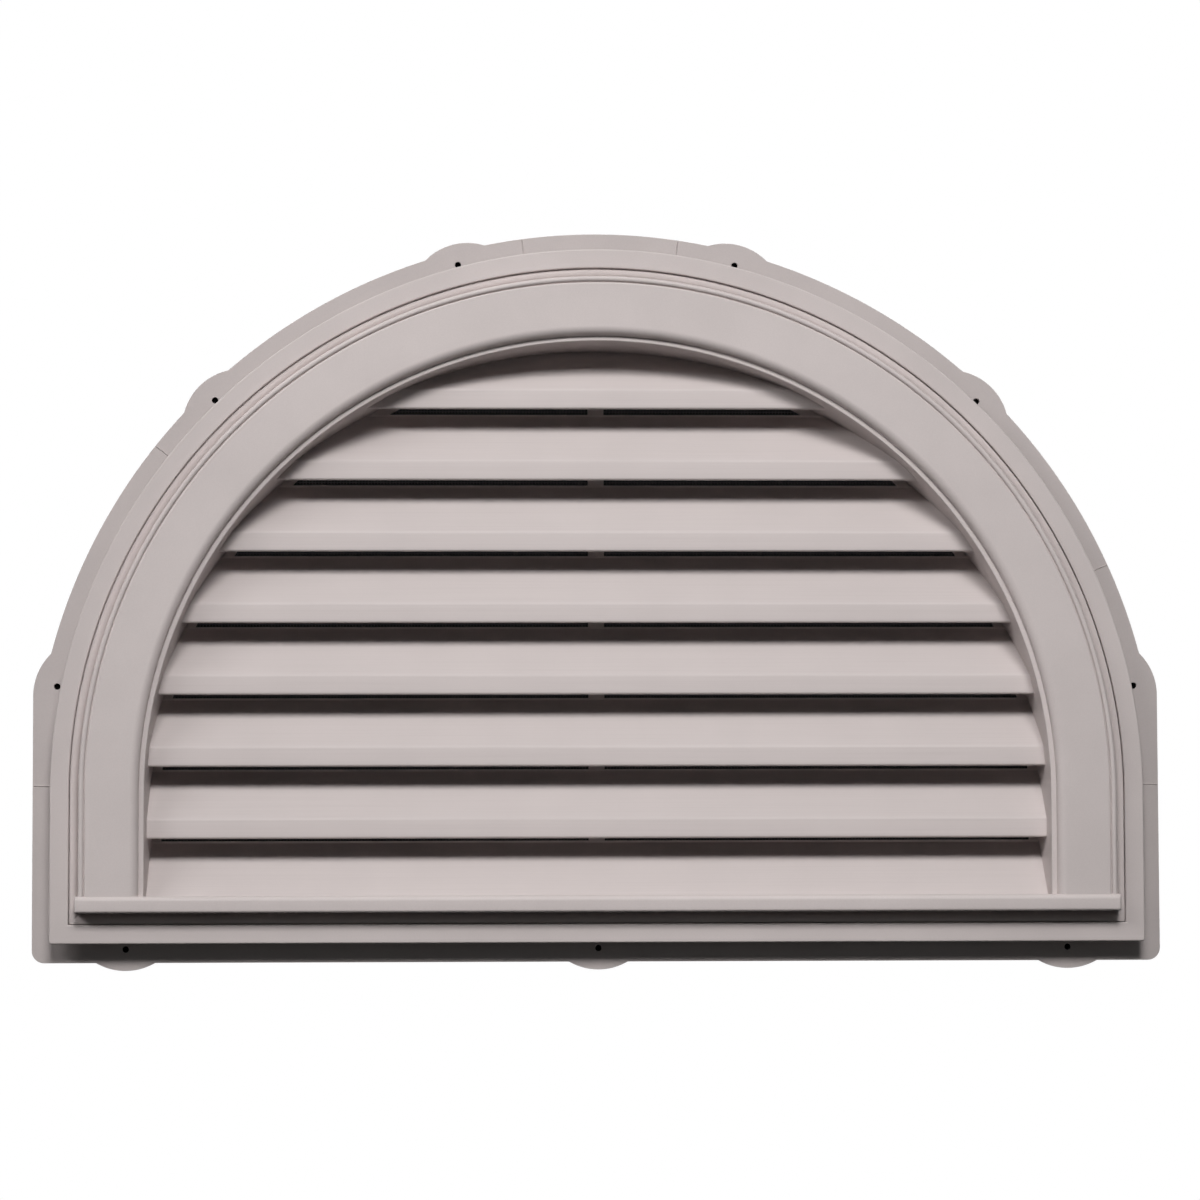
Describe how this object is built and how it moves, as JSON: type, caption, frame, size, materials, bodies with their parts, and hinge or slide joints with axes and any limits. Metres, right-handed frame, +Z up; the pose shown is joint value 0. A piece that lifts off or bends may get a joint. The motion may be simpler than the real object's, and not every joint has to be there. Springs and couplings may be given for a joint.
{
  "type": "gable vent",
  "caption": "Half-round louvred gable vent with nailing flange, moulded surround, sill, clip-on trim ring and insect screen.",
  "frame": {"origin": "on the back of the nailing flange, at the middle of its straight bottom edge", "axes": "+X to the right seen from outside, +Y into the wall, +Z up"},
  "size_m": [0.8636, 0.0648, 0.5668],
  "materials": {
    "body": "satin moulded, coloured through, fine wood grain on the blades",
    "ring": "satin moulded, coloured through",
    "screen": "charcoal coated glass-fibre mesh"
  },
  "bodies": {
    "root": {"nailing_flange": "body", "neck": "body", "surround": "body", "sill": "body", "louvre_wall": "body", "louvre_blades": "body", "rear_frame": "body", "trim_ring": "ring", "insect_screen": "screen"}
  },
  "joints": []
}
